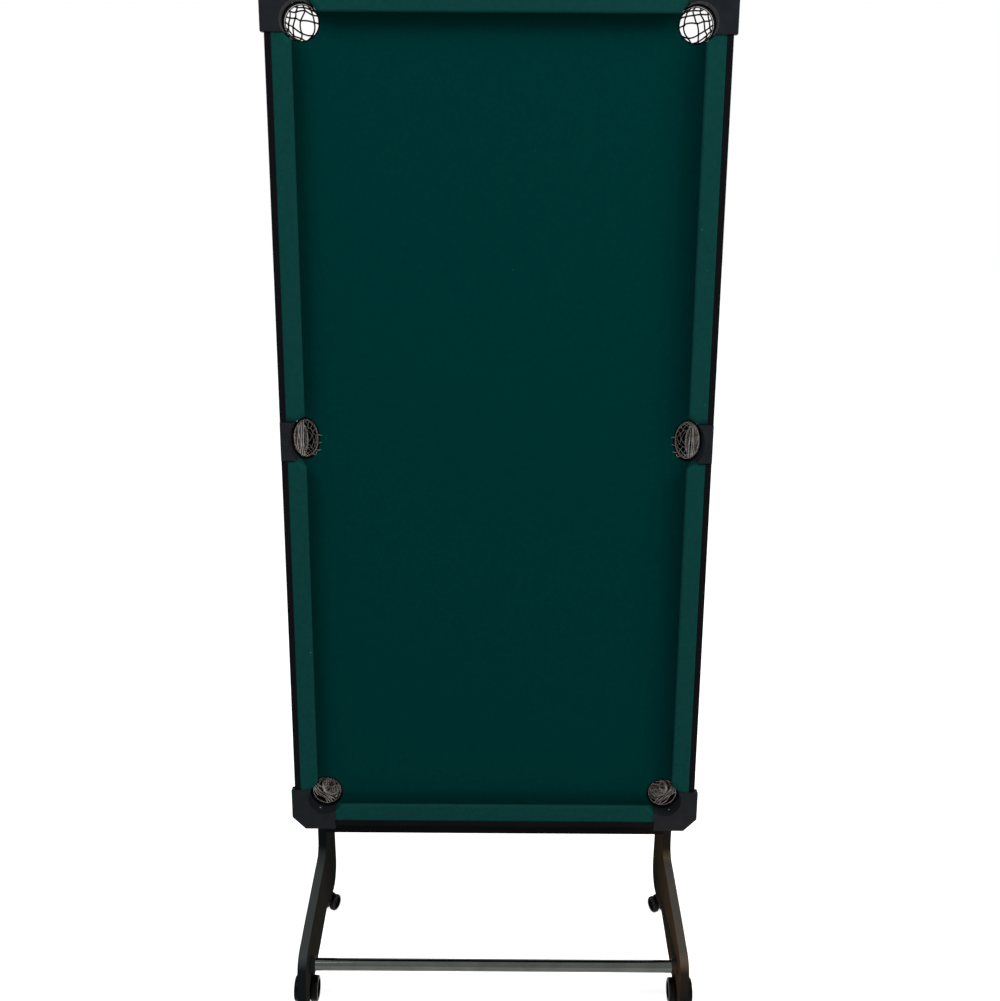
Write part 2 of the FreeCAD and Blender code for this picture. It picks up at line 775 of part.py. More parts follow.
def all_nodes():
    """Every node's name and shape."""
    nodes = {
        "bed_board": bed_boards(),
        "bed_cloth": bed(bed_drop, bed_drop + cloth),
        "bed_battens": battens(),
        "cap_screws": cap_screws(),
        "stop_bumpers": stop_bumpers(),
        "pocket_rings": Part.makeCompound([pocket_ring(s, p) for s, p in all_pockets()]),
        "cross_rail": cross_rail(),
        "foot_bar": foot_bar(),
        "bar_collars": bar_collars(),
        "hinge_bolts": hinge_bolts(hinge_height),
        "link_studs": link_pins(hinge_height - link_below),
        "lock_barrels": lock_barrels(),
        "far_bars": far_bars(),
        "far_hinge_bolts": Part.makeCompound([hinge_bolts(far_hinge_z), link_pins(far_hinge_z - link_below)]),
    }
    for end_name, end in ends.items():
        nodes["frame_end_" + end_name] = frame_end(end)
        nodes["cushion_end_" + end_name] = end_rail(end)
    for side_name, side in sides.items():
        nodes["frame_side_" + side_name] = frame_side(side)
        nodes["side_cap_" + side_name] = side_cap(side)
        nodes["hinge_bracket_" + side_name] = hinge_bracket(side)
        nodes["far_bracket_" + side_name] = far_bracket(side)
        nodes["base_leg_" + side_name] = base_leg(side)
        nodes["lock_bolt_" + side_name] = lock_bolt(side)
        nodes["drag_link_" + side_name] = drag_link(side)
        nodes["far_leg_" + side_name] = far_leg(side)
        nodes["leveller_" + side_name] = leveller(side)
        nodes["net_side_" + side_name] = pocket_net(side, 0)
        for end_name, end in ends.items():
            nodes["cushion_" + side_name + "_" + end_name] = side_rail(side, end)
            nodes["corner_cap_" + side_name + "_" + end_name] = corner_cap(side, end)
            nodes["net_" + side_name + "_" + end_name] = pocket_net(side, end)
        nodes["front_wheels_" + side_name] = front_wheels(side)
        nodes["caster_hood_" + side_name] = caster_hood(side)
        nodes["caster_wheels_" + side_name] = caster_wheels(side)
    return nodes


def main():
    os.makedirs("parts", exist_ok=True)
    nodes = all_nodes()
    box = FreeCAD.BoundBox()
    for shape in nodes.values():
        box.add(shape.optimalBoundingBox(False))
    shift = -(box.YMin + box.YMax) / 2
    for name, shape in nodes.items():
        shape.translate(v(0, shift, 0))
        shape.exportStep("parts/" + name + ".step")
    print("nodes", len(nodes), "moved along Y by", round(shift, 3))
    size = [round(length, 2) for length in (box.XLength, box.YLength, box.ZLength)]
    print("size", size, "lowest", round(box.ZMin, 3))


main()
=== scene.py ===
import math

import bmesh
import bpy
import numpy as np
from mathutils import Euler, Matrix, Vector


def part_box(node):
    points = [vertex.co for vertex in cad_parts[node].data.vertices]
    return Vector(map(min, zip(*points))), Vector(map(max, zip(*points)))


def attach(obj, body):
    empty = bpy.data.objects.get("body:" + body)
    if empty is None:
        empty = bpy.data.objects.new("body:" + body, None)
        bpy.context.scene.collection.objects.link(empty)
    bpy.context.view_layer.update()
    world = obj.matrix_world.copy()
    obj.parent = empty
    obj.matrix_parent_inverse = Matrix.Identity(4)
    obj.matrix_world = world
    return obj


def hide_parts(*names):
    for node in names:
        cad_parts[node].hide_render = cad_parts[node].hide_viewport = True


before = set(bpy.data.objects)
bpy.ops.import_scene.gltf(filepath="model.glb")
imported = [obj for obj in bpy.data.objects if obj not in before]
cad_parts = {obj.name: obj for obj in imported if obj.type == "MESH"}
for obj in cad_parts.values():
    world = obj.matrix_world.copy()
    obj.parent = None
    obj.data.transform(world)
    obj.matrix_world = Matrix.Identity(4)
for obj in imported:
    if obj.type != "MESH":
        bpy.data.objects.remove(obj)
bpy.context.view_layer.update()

rng = np.random.default_rng(11)

MM = 0.001

# Places read from the frame, in metres. The top stands upright: X runs across it, Y from its face
# into its depth, and Z along it.
FRAME_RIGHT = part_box("frame_side_right")
RAIL_TOP_Y = FRAME_RIGHT[0][1]
INNER_X = FRAME_RIGHT[0][0]
INNER_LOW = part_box("frame_end_near")[1][2]
INNER_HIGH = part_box("frame_end_far")[0][2]
MIDDLE_Z = (INNER_LOW + INNER_HIGH) / 2
BED_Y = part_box("bed_cloth")[0][1]
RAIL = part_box("cushion_right_near")
RAIL_WIDTH = RAIL[1][0] - RAIL[0][0]
RAIL_DEPTH = RAIL[1][1] - RAIL[0][1]
CORNER_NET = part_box("net_right_far")
SIDE_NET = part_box("net_side_right")
NET_PLAY = 0.3 * MM
POCKET_RADIUS = (CORNER_NET[1][0] - CORNER_NET[0][0]) / 2 + NET_PLAY
POCKET_INSET = INNER_X - (CORNER_NET[1][0] + CORNER_NET[0][0]) / 2
SIDE_ACROSS = (SIDE_NET[1][0] - SIDE_NET[0][0]) / 2 + NET_PLAY
SIDE_ALONG = (SIDE_NET[1][2] - SIDE_NET[0][2]) / 2 + NET_PLAY
SIDE_INSET = INNER_X - (SIDE_NET[1][0] + SIDE_NET[0][0]) / 2
SIDES = {"left": -1, "right": 1}
ENDS = {"near": -1, "far": 1}
END_EDGES = {-1: INNER_LOW, 1: INNER_HIGH}


# Materials

DRIFT_DETAIL = 4.0
GRAIN_DETAIL = 2.0
GRAIN_DEPTH = 0.3 * MM
LINT_CELL = 45 * MM
# Numbers of the colour sockets of a mix node: its two inputs and its output
MIX_FIRST, MIX_SECOND, MIX_RESULT = 6, 7, 2


def linear(hex_colour):
    """An sRGB hex colour as linear RGBA.

    A channel c becomes c / 12.92 up to 0.04045, and ((c + 0.055) / 1.055)^2.4 above."""
    values = [int(hex_colour[i:i + 2], 16) / 255 for i in (0, 2, 4)]
    return [c / 12.92 if c <= 0.04045 else ((c + 0.055) / 1.055) ** 2.4 for c in values] + [1.0]


def fresh_tree(owner):
    """The emptied node tree of a material or a world."""
    owner.use_nodes = True
    owner.node_tree.nodes.clear()
    return owner.node_tree


def add(tree, kind, settings=None, **links):
    """Adds a node, sets its properties and sockets, and links its inputs from (node, output) pairs.

    A link is named after its socket, with _ for a space, or by i and the socket's number."""
    node = tree.nodes.new(kind)
    for key, value in (settings or {}).items():
        if hasattr(node, key):
            setattr(node, key, value)
        else:
            node.inputs[key.replace("_", " ")].default_value = value
    for key, (source, output) in links.items():
        socket = int(key[1:]) if key[0] == "i" and key[1:].isdigit() else key.replace("_", " ")
        tree.links.new(source.outputs[output], node.inputs[socket])
    return node


def node_of(tree, kind):
    """The first node of a kind in a tree."""
    return next(node for node in tree.nodes if node.type == kind)


def mix_colours(tree, factor, first, second):
    """Mixes two colours, each a hex value or a (node, output) pair, and returns such a pair."""
    mix = add(tree, "ShaderNodeMix", {"data_type": "RGBA"}, i0=factor)
    for number, colour in ((MIX_FIRST, first), (MIX_SECOND, second)):
        if isinstance(colour, str):
            mix.inputs[number].default_value = linear(colour)
        else:
            tree.links.new(colour[0].outputs[colour[1]], mix.inputs[number])
    return mix, MIX_RESULT


def recolour(tree, colour):
    """Puts a (node, output) pair in place of a finish's own colour."""
    tree.links.new(colour[0].outputs[colour[1]], node_of(tree, "BSDF_PRINCIPLED").inputs["Base Color"])


def finish_of(name, colour, second, pattern_mm, roughness, spread, bump, bump_mm=0.5, stretch=(1, 1, 1),
              **shader):
    """A material that drifts between two hex colours, with a fine bump, on object coordinates.

    The drift has patches of about pattern_mm, and its colours meet over the share `spread` of the
    noise."""
    material = bpy.data.materials.new(name)
    tree = fresh_tree(material)
    out = add(tree, "ShaderNodeOutputMaterial")
    shade = add(tree, "ShaderNodeBsdfPrincipled", {"Roughness": roughness})
    for key, value in shader.items():
        shade.inputs[key.replace("_", " ")].default_value = value
    place = add(tree, "ShaderNodeTexCoord")
    turned = add(tree, "ShaderNodeMapping", {"Scale": stretch}, Vector=(place, "Object"))
    drift = add(tree, "ShaderNodeTexNoise", {"Scale": 1 / (pattern_mm * MM), "Detail": DRIFT_DETAIL},
                Vector=(turned, "Vector"))
    ramp = add(tree, "ShaderNodeValToRGB", Fac=(drift, "Fac"))
    ramp.color_ramp.elements[0].position = 0.5 - spread / 2
    ramp.color_ramp.elements[1].position = 0.5 + spread / 2
    ramp.color_ramp.elements[0].color = linear(colour)
    ramp.color_ramp.elements[1].color = linear(second)
    tree.links.new(ramp.outputs["Color"], shade.inputs["Base Color"])
    if bump:
        grain = add(tree, "ShaderNodeTexNoise", {"Scale": 1 / (bump_mm * MM), "Detail": GRAIN_DETAIL},
                    Vector=(turned, "Vector"))
        lift = add(tree, "ShaderNodeBump", {"Strength": bump, "Distance": GRAIN_DEPTH}, Height=(grain, "Fac"))
        tree.links.new(lift.outputs["Normal"], shade.inputs["Normal"])
    tree.links.new(shade.outputs["BSDF"], out.inputs["Surface"])
    return material


def baize(name, colour, second, lint_share):
    """Napped wool cloth: a soft sheen, a fibre grain near 1 mm, drawn coarse enough to show, and a
    few pale specks of lint, where the Voronoi distance, in cells of 45 mm, is below lint_share."""
    material = finish_of(name, colour, second, pattern_mm=9.0, roughness=0.93, spread=0.6,
                         bump=0.35, bump_mm=0.8, Sheen_Weight=0.03, Sheen_Roughness=0.5,
                         Sheen_Tint=linear("3F9A8E"), Specular_IOR_Level=0.0)
    tree = material.node_tree
    cells = add(tree, "ShaderNodeTexVoronoi", {"Scale": 1 / LINT_CELL},
                Vector=(node_of(tree, "TEX_COORD"), "Object"))
    speck = add(tree, "ShaderNodeMath", {"operation": "LESS_THAN"}, i0=(cells, "Distance"))
    speck.inputs[1].default_value = lint_share
    recolour(tree, mix_colours(tree, (speck, "Value"), (node_of(tree, "VALTORGB"), "Color"), "5E8C84"))
    return material


# A finish's numbers are its pattern in mm, roughness, spread, bump and the bump's grain in mm
BAIZE_BED = baize("baize_bed", "002D2C", "003230", lint_share=0.010)
BAIZE_RAIL = baize("baize_rail", "0B3634", "103E3A", lint_share=0.02)
LAMINATE = finish_of("black_laminate", "090A0C", "0E0F12", 60.0, 0.6, 0.6, 0.15, 0.9, Specular_IOR_Level=0.02)
CAP_ABS = finish_of("moulded_abs", "16191C", "1C1F24", 20.0, 0.5, 0.5, 0.2, 0.7, Specular_IOR_Level=0.04)
RING_ABS = finish_of("liner_abs", "070606", "0C0B0B", 20.0, 0.6, 0.5, 0.2, 0.7, Specular_IOR_Level=0.03)
NYLON = finish_of("caster_nylon", "070708", "0C0C0D", 12.0, 0.3, 0.5, 0.1, 0.8, Specular_IOR_Level=0.04)
RUBBER = finish_of("bumper_rubber", "101010", "1B1B1B", 6.0, 0.75, 0.5, 0.3, 0.6, Specular_IOR_Level=0.1)
CHROME = finish_of("plated_chrome", "454845", "545753", 40.0, 0.14, 0.6, 0.0, Metallic=1.0)
ZINC = finish_of("zinc_plate", "9EA1A2", "B7B9B6", 6.0, 0.38, 0.5, 0.1, 0.5, Metallic=1.0)
POWDER = finish_of("powder_coat", "15161A", "1B1D20", 9.0, 0.5, 0.5, 0.45, 0.9, Specular_IOR_Level=0.1)
MDF = finish_of("raw_board", "8D6E4B", "A5845C", 3.0, 0.85, 0.4, 0.2, 0.5)
PINE = finish_of("planed_pine", "B98F5C", "D8B583", 14.0, 0.7, 0.4, 0.15, 0.8, stretch=(0.06, 1, 1))
CORD = finish_of("net_cord", "6A5E4E", "BFBCBC", 12.0, 0.9, 0.45, 0.6, 1.1, Specular_IOR_Level=0.1)
# Darker copy of the net cord for the far nets: painted shade, for cords seen against the light.
CORD_PAINTED_SHADE = finish_of("net_cord_painted_shade", "3A332E", "544B44", 7.0, 0.9, 0.7, 0.6, 1.1,
                      Specular_IOR_Level=0.05)
TAPE = finish_of("woven_tape", "5B5546", "A09B86", 4.0, 0.9, 0.35, 0.8, 1.4, stretch=(1, 1, 2),
                 Specular_IOR_Level=0.1)


def edged_board():
    """Black board for the legs: brown-black faces, black bands on the edges, and a greyer band on
    sloping edges, a painted highlight of the light from above. The object normal tells a face (X)
    from an edge, and a slope (Z) from an upright."""
    material = finish_of("edged_leg_board", "232321", "2A2925", 35.0, 0.6, 0.6, 0.12, 1.2,
                         Specular_IOR_Level=0.0)
    tree = material.node_tree
    parts = add(tree, "ShaderNodeSeparateXYZ", Vector=(node_of(tree, "TEX_COORD"), "Normal"))
    sideways = add(tree, "ShaderNodeMath", {"operation": "ABSOLUTE"}, i0=(parts, "X"))
    banded = add(tree, "ShaderNodeMapRange", {"From_Min": 0.85, "From_Max": 0.55}, Value=(sideways, "Value"))
    # Upward-facing slopes turn grey: painted highlight of light from above.
    painted_top_light = add(tree, "ShaderNodeMapRange", {"From_Min": 0.35, "From_Max": 0.85}, Value=(parts, "Z"))
    band_and_painted_top_light = mix_colours(tree, (painted_top_light, "Result"), "15181A", "3A3D3D")
    recolour(tree, mix_colours(tree, (banded, "Result"), (node_of(tree, "VALTORGB"), "Color"), band_and_painted_top_light))
    return material


LEG_BOARD = edged_board()


# Shapes

MERGE_CLOTH = 0.02 * MM
MERGE_SMALL = 0.01 * MM
MERGE_SCREW = 0.005 * MM
BEVEL_SEGMENTS = 3
BEVEL_ANGLE = 35.0


def grid_faces(rows, columns, wrap_columns=False):
    """Quads over a grid of points that are numbered row by row."""
    r = np.arange(rows - 1)[:, None]
    c = np.arange(columns if wrap_columns else columns - 1)[None, :]
    r2, c2 = r + 1, (c + 1) % columns
    corners = (r * columns + c, r2 * columns + c, r2 * columns + c2, r * columns + c2)
    return np.stack(np.broadcast_arrays(*corners), -1).reshape(-1, 4)


def repeated(faces, copies, points_each):
    """One shape's faces, numbered on for copies that follow one another."""
    return (faces[None] + (np.arange(copies) * points_each)[:, None, None]).reshape(-1, 4)


def shade_smooth(mesh):
    mesh.polygons.foreach_set("use_smooth", [True] * len(mesh.polygons))


def piece(name, shapes, body, material, replaces=(), merge=0.0):
    """Makes one smooth object from (points, faces) pairs in the frame's coordinates, on a body."""
    points, faces, count = [], [], 0
    for p, f in shapes:
        p = np.asarray(p, float).reshape(-1, 3)
        points.append(p)
        faces += (np.asarray(f) + count).tolist()
        count += len(p)
    mesh = bpy.data.meshes.new(name)
    mesh.from_pydata(np.concatenate(points).tolist(), [], faces)
    shell = bmesh.new()
    shell.from_mesh(mesh)
    if merge:
        bmesh.ops.remove_doubles(shell, verts=shell.verts, dist=merge)
    bmesh.ops.recalc_face_normals(shell, faces=shell.faces)
    shell.to_mesh(mesh)
    shell.free()
    shade_smooth(mesh)
    mesh.materials.append(material)
    thing = bpy.data.objects.new(name, mesh)
    bpy.context.scene.collection.objects.link(thing)
    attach(thing, body)
    if replaces:
        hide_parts(*replaces)
    return thing


def soften(thing, width_mm):
    """Welds a CAD node's loose triangles and rounds its edges, as moulding, sanding or lacquer
    leaves them."""
    weld = thing.modifiers.new("weld", "WELD")
    weld.merge_threshold = MERGE_SMALL
    bevel = thing.modifiers.new("bevel", "BEVEL")
    bevel.width = width_mm * MM
    bevel.segments = BEVEL_SEGMENTS
    bevel.limit_method = "ANGLE"
    bevel.angle_limit = math.radians(BEVEL_ANGLE)
    bevel.harden_normals = False
    shade_smooth(thing.data)
    smooth = thing.modifiers.new("shade", "WEIGHTED_NORMAL")
    smooth.keep_sharp = False


def dress(prefixes, material, width_mm=0.0):
    """Gives CAD nodes their finish, and rounds their edges where a width is given."""
    for name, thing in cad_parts.items():
        if name.startswith(prefixes):
            thing.data.materials.clear()
            thing.data.materials.append(material)
            if width_mm:
                soften(thing, width_mm)


dress(("bed_board",), MDF)
dress(("bed_battens",), PINE, 1.0)
dress(("frame_", "cross_rail"), LAMINATE, 0.8)
dress(("corner_cap", "side_cap"), CAP_ABS, 0.9)
dress(("base_leg", "far_leg_"), LEG_BOARD, 1.6)
dress(("bar_collars", "lock_barrels"), CAP_ABS, 0.8)
dress(("pocket_rings",), RING_ABS, 0.5)
dress(("foot_bar",), CHROME)
dress(("hinge_bolts", "link_studs", "far_hinge_bolts"), ZINC, 0.5)
dress(("hinge_bracket", "far_bracket", "drag_link"), POWDER, 0.6)
dress(("far_bars",), POWDER)
dress(("caster_hood", "caster_wheels", "front_wheels"), NYLON, 0.6)
dress(("lock_bolt", "leveller"), NYLON, 0.5)
dress(("stop_bumpers",), RUBBER, 0.8)


# Cushions

NOSE_REACH = 4.5 * MM
NOSE_DROP = 5.0 * MM
FOOT = 24.0 * MM
UNDERCUT_POWER = 1.15
FLAT_POINTS = 12
NOSE_POINTS = 9
RAIL_ROWS = 60
END_ROWS = 8
POCKET_CUT = POCKET_RADIUS + 2.0 * MM
MOUTH_GAP = 41.5 * MM
MOUTH_NOSE = 56.0 * MM
CAP_TURN = INNER_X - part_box("side_cap_right")[0][0]


def rail_section():
    """Distances from the frame across a cushion, with the depth of its upper and lower faces there.

    The top is flat, and a quarter ellipse rounds the nose. From the foot to the nose the underside
    rises from the cloth by slant^1.15, where slant is the share of the way."""
    turn = np.linspace(0, math.pi / 2, NOSE_POINTS)
    flat = RAIL_WIDTH - NOSE_REACH
    across = np.concatenate([np.linspace(0, flat, FLAT_POINTS)[:-1], flat + NOSE_REACH * np.sin(turn)])
    t = np.clip((across - flat) / NOSE_REACH, 0, 1)
    upper = NOSE_DROP * (1 - np.sqrt(1 - t ** 2))
    slant = np.clip((across - FOOT) / (RAIL_WIDTH - FOOT), 0, 1)
    lower = RAIL_DEPTH - (RAIL_DEPTH - NOSE_DROP) * slant ** UNDERCUT_POWER
    return across, upper, lower


def cushion(name, start, stop, place):
    """A cloth-covered rail: its section carried between two end lines that depend on the distance
    from the frame."""
    across, upper, lower = rail_section()
    first, last = start(across), stop(across)
    steps = np.linspace(0, 1, RAIL_ROWS)[:, None]
    along = first * (1 - steps) + last * steps
    t = np.broadcast_to(across, along.shape)
    top = place(t, RAIL_TOP_Y + np.broadcast_to(upper, along.shape), along)
    low = place(t, RAIL_TOP_Y + np.broadcast_to(lower, along.shape), along)
    n, m = along.shape
    shapes = [(top, grid_faces(n, m)), (low, grid_faces(n, m))]
    levels = np.linspace(0, 1, END_ROWS)[:, None, None]
    for row in (0, -1):
        wall = top[row] * (1 - levels) + low[row] * levels
        shapes.append((wall, grid_faces(END_ROWS, m)))
    back = np.stack([top[:, 0], low[:, 0]])
    shapes.append((back, grid_faces(2, n)))
    made = piece(name + "_cloth", shapes, "top", BAIZE_RAIL, [name], merge=MERGE_CLOTH)


def circle_reach(across):
    """How far from the corner the cut for a pocket reaches.

    It is inset + sqrt(cut^2 - (across - inset)^2)."""
    near = np.clip(1 - ((across - POCKET_INSET) / POCKET_CUT) ** 2, 0, None)
    return POCKET_INSET + POCKET_CUT * np.sqrt(near)


def pocket_end(end):
    """End line of a long cushion at a corner pocket: on the frame's side of the pocket's circle it
    runs out to the frame."""

    def at(across):
        beyond = np.where(across < POCKET_INSET - POCKET_CUT, 0.0, circle_reach(across))
        return END_EDGES[end] - end * beyond

    return at


def mouth_end(end):
    """End line of a long cushion at a side pocket: square by the cap, then slanting to the nose."""

    def at(across):
        slant = np.clip((across - CAP_TURN) / (RAIL_WIDTH - CAP_TURN), 0, 1)
        return MIDDLE_Z + end * (MOUTH_GAP + (MOUTH_NOSE - MOUTH_GAP) * slant)

    return at


def short_end(side):
    """End line of a short cushion. It stops at the corner pocket's circle, and a rail's width from
    the side frame at the least."""

    def at(across):
        beyond = np.maximum(RAIL_WIDTH, circle_reach(across))
        beyond = np.where(across < POCKET_INSET - POCKET_CUT, RAIL_WIDTH, beyond)
        return side * (INNER_X - beyond)

    return at


def along_side(side):
    """Places a long cushion's points, given by the distance from its board, the depth and z."""
    return lambda t, y, z: np.stack([side * (INNER_X - t), y, z], -1)


def along_end(end):
    """Places a short cushion's points, given by the distance from its board, the depth and x."""
    return lambda t, y, x: np.stack([x, y, END_EDGES[end] - end * t], -1)


for side_name, side in SIDES.items():
    for end_name, end in ENDS.items():
        cushion("cushion_" + side_name + "_" + end_name, pocket_end(end), mouth_end(end), along_side(side))
for end_name, end in ENDS.items():
    cushion("cushion_end_" + end_name, short_end(-1), short_end(1), along_end(end))


# Bed cloth

FOLD = 1.5 * MM
CLOTH = 1.9 * MM
PATCH_IN = 108.5 * MM
SIDE_PATCH = 62.0 * MM
PATCH_STEPS = 16
ACROSS_STEPS = 30
ALONG_STEPS = 40
FLAT_RINGS = 4
ROLL_RINGS = 4
UNDER_RINGS = 3


def rectangle(x0, x1, z0, z1):
    """Points round a rectangle, evenly spaced on each edge, as (x, z)."""
    s = np.linspace(0, 1, PATCH_STEPS, endpoint=False)
    edges = [
        np.stack([x0 + (x1 - x0) * s, np.full_like(s, z0)], -1),
        np.stack([np.full_like(s, x1), z0 + (z1 - z0) * s], -1),
        np.stack([x1 - (x1 - x0) * s, np.full_like(s, z1)], -1),
        np.stack([np.full_like(s, x0), z1 - (z1 - z0) * s], -1),
    ]
    return np.concatenate(edges)


def hole_patch(centre, half, limits):
    """Cloth between a rectangle and a round or oval hole, rolled over the hole's edge and back out
    underneath.

    Every point of the rectangle is joined to the oval along the ray from the hole's centre. The
    oval's reach along a ray is 1 / sqrt((x / across)^2 + (z / along)^2). The section along a ray is
    flat, then a quarter circle of the fold's radius, then flat below."""
    outer = rectangle(*limits)
    ray = outer - centre
    reach = np.linalg.norm(ray, axis=1, keepdims=True)
    ray = ray / reach
    hole = 1 / np.linalg.norm(ray / np.array(half), axis=1)
    turn = np.linspace(0, math.pi / 2, ROLL_RINGS)
    flat = np.linspace(1, 0, FLAT_RINGS + 1)[:-1, None]
    going_in = flat * reach.T + (1 - flat) * np.minimum(hole + FOLD, reach.T)
    rolled = np.minimum(hole + FOLD * (1 - np.sin(turn))[:, None], reach.T)
    under = hole + (reach.T - hole) * np.linspace(0, 1, UNDER_RINGS)[:, None]
    radius = np.concatenate([going_in, rolled, under])
    down = np.concatenate([np.zeros(FLAT_RINGS), FOLD * (1 - np.cos(turn)), np.full(UNDER_RINGS, CLOTH)])
    plan = centre + radius[..., None] * ray
    deep = np.broadcast_to(BED_Y + down[:, None], radius.shape)
    points = np.stack([plan[..., 0], deep, plan[..., 1]], -1)
    return points, grid_faces(len(radius), len(outer), wrap_columns=True)


def bed_cloth():
    """The playing cloth: one flat sheet stretched over the board, with six rolled pocket holes.

    It is laid out in three columns and five rows. The outer columns' even rows hold the pockets."""
    x_parts = [-INNER_X, -INNER_X + PATCH_IN, INNER_X - PATCH_IN, INNER_X]
    z_parts = [INNER_LOW, INNER_LOW + PATCH_IN, MIDDLE_Z - SIDE_PATCH, MIDDLE_Z + SIDE_PATCH,
               INNER_HIGH - PATCH_IN, INNER_HIGH]
    x_steps = (PATCH_STEPS, ACROSS_STEPS, PATCH_STEPS)
    z_steps = (PATCH_STEPS, ALONG_STEPS, PATCH_STEPS, ALONG_STEPS, PATCH_STEPS)
    x_lines = [np.linspace(a, b, n + 1) for a, b, n in zip(x_parts, x_parts[1:], x_steps)]
    z_lines = [np.linspace(a, b, n + 1) for a, b, n in zip(z_parts, z_parts[1:], z_steps)]
    shapes = []
    for level in (BED_Y, BED_Y + CLOTH):
        for column, x in enumerate(x_lines):
            for row, z in enumerate(z_lines):
                if column != 1 and row % 2 == 0:
                    continue
                gx, gz = np.meshgrid(x, z)
                shapes.append((np.stack([gx, np.full_like(gx, level), gz], -1), grid_faces(*gx.shape)))
    corner = (POCKET_RADIUS, POCKET_RADIUS)
    places = {
        0: (POCKET_INSET, INNER_LOW + POCKET_INSET, corner),
        2: (SIDE_INSET, MIDDLE_Z, (SIDE_ACROSS, SIDE_ALONG)),
        4: (POCKET_INSET, INNER_HIGH - POCKET_INSET, corner),
    }
    for side, column in ((-1, 0), (1, 2)):
        for row, (inset, z, half) in places.items():
            centre = np.array([side * (INNER_X - inset), z])
            limits = (x_parts[column], x_parts[column + 1], z_parts[row], z_parts[row + 1])
            shapes.append(hole_patch(centre, half, limits))
    xs = np.unique(np.concatenate(x_lines).round(7))
    zs = np.unique(np.concatenate(z_lines).round(7))
    depth = np.array([BED_Y, BED_Y + CLOTH])[:, None]
    for x in (-INNER_X, INNER_X):
        wall = np.stack(np.broadcast_arrays(x, depth, zs[None]), -1)
        shapes.append((wall, grid_faces(2, len(zs))))
    for z in (INNER_LOW, INNER_HIGH):
        wall = np.stack(np.broadcast_arrays(xs[None], depth, z), -1)
        shapes.append((wall, grid_faces(2, len(xs))))
    made = piece("playing_cloth", shapes, "top", BAIZE_BED, ["bed_cloth"], merge=MERGE_CLOTH)


bed_cloth()


# Nets

TINY = 1e-9
TUBE_SIDES = 6
STEEP = 0.8
BEAD_RINGS = 4
BEAD_SIDES = 6
BEAD_POLE = 0.15
BOWL_POWER = 0.6
BOWL_FLOOR = 0.97
BOWL_MIDDLE = 1e-6
# Cords: their radius and points, a knot's size in cords, how far knots stray in meshes, and how far
# the netting reaches before it is cut, in mouth radii
CORD_MM = 1.4
CORD_RADIUS = CORD_MM * MM
CORD_POINTS = 7
KNOT_SHARE = 1.6
KNOT_STRAY = 0.09
NET_REACH = 1.4
# Crumpling: how many waves a fold has, and the spread of their directions, paces and phases
WAVES = 4
WAVE_WAY = 0.6
WAVE_PACE = 4.0
WAVE_PHASE = 6.3
DEPTH_SHARE = 0.85
# Border strands: their distances from the mouth's middle, in mouth radii, and their radius
STRANDS = (0.66, 0.5, 0.36, 0.18)
STRAND_REACH = 0.97
STRAND_POINTS = 25
STRAND_RADIUS = 1.2 * MM
# Fine threads: the angle on the mouth in degrees and the length in mm of each, then what they share
THREADS = ((170, 10), (193, 9), (217, 11), (240, 8))
THREAD_POINTS = 12
THREAD_STRAY = 1.2 * MM
THREAD_RISE = 0.2
THREAD_RADIUS = 0.4 * MM
# Bags: the hem's inset and points, and its radius in cords when the mouth is drawn up or not
HEM_INSET = 1.5 * CORD_RADIUS
HEM_POINTS = 49
HEM_DRAWN = 0.45
HEM_FREE = 0.8
BAG_ROOM = 4 * CORD_RADIUS
LIFT = 11.0 * MM
LIFTED_SHARE = 0.95
# Cups of painted shade behind the side and near nets
CUP_WALL = 1.0 * MM
CUP_ROOM = 1.6 * CORD_RADIUS
CUP_PLAY = 1.2 * CUP_WALL
CUP_SIDES = 48
CUP_RINGS = 18
COLLAR = 0.35 * MM


def tubes(paths, radius):
    """Round tubes along many paths at once. Each ring stands square to its path, turned from a
    steady axis."""
    ahead = np.gradient(paths, axis=1)
    ahead /= np.linalg.norm(ahead, axis=2, keepdims=True) + TINY
    steady = np.where(np.abs(ahead[..., 1:2]) < STEEP, np.array([0.0, 1.0, 0.0]), np.array([1.0, 0.0, 0.0]))
    across = np.cross(ahead, steady)
    across /= np.linalg.norm(across, axis=2, keepdims=True) + TINY
    up = np.cross(across, ahead)
    a = np.linspace(0, 2 * math.pi, TUBE_SIDES, endpoint=False)
    ring = np.cos(a)[:, None] * across[:, :, None] + np.sin(a)[:, None] * up[:, :, None]
    points = paths[:, :, None] + radius * ring
    k, n = paths.shape[:2]
    return points, repeated(grid_faces(n, TUBE_SIDES, wrap_columns=True), k, n * TUBE_SIDES)


def beads(centres, radius):
    """Small faceted balls, one at each knot."""
    theta = np.linspace(BEAD_POLE, math.pi - BEAD_POLE, BEAD_RINGS)
    phi = np.linspace(0, 2 * math.pi, BEAD_SIDES, endpoint=False)
    ball = np.stack([
        np.sin(theta)[:, None] * np.cos(phi),
        np.sin(theta)[:, None] * np.sin(phi),
        np.broadcast_to(np.cos(theta)[:, None], (BEAD_RINGS, BEAD_SIDES)),
    ], -1).reshape(-1, 3)
    points = centres[:, None] + radius * ball
    return points, repeated(grid_faces(BEAD_RINGS, BEAD_SIDES, wrap_columns=True), len(centres), len(ball))


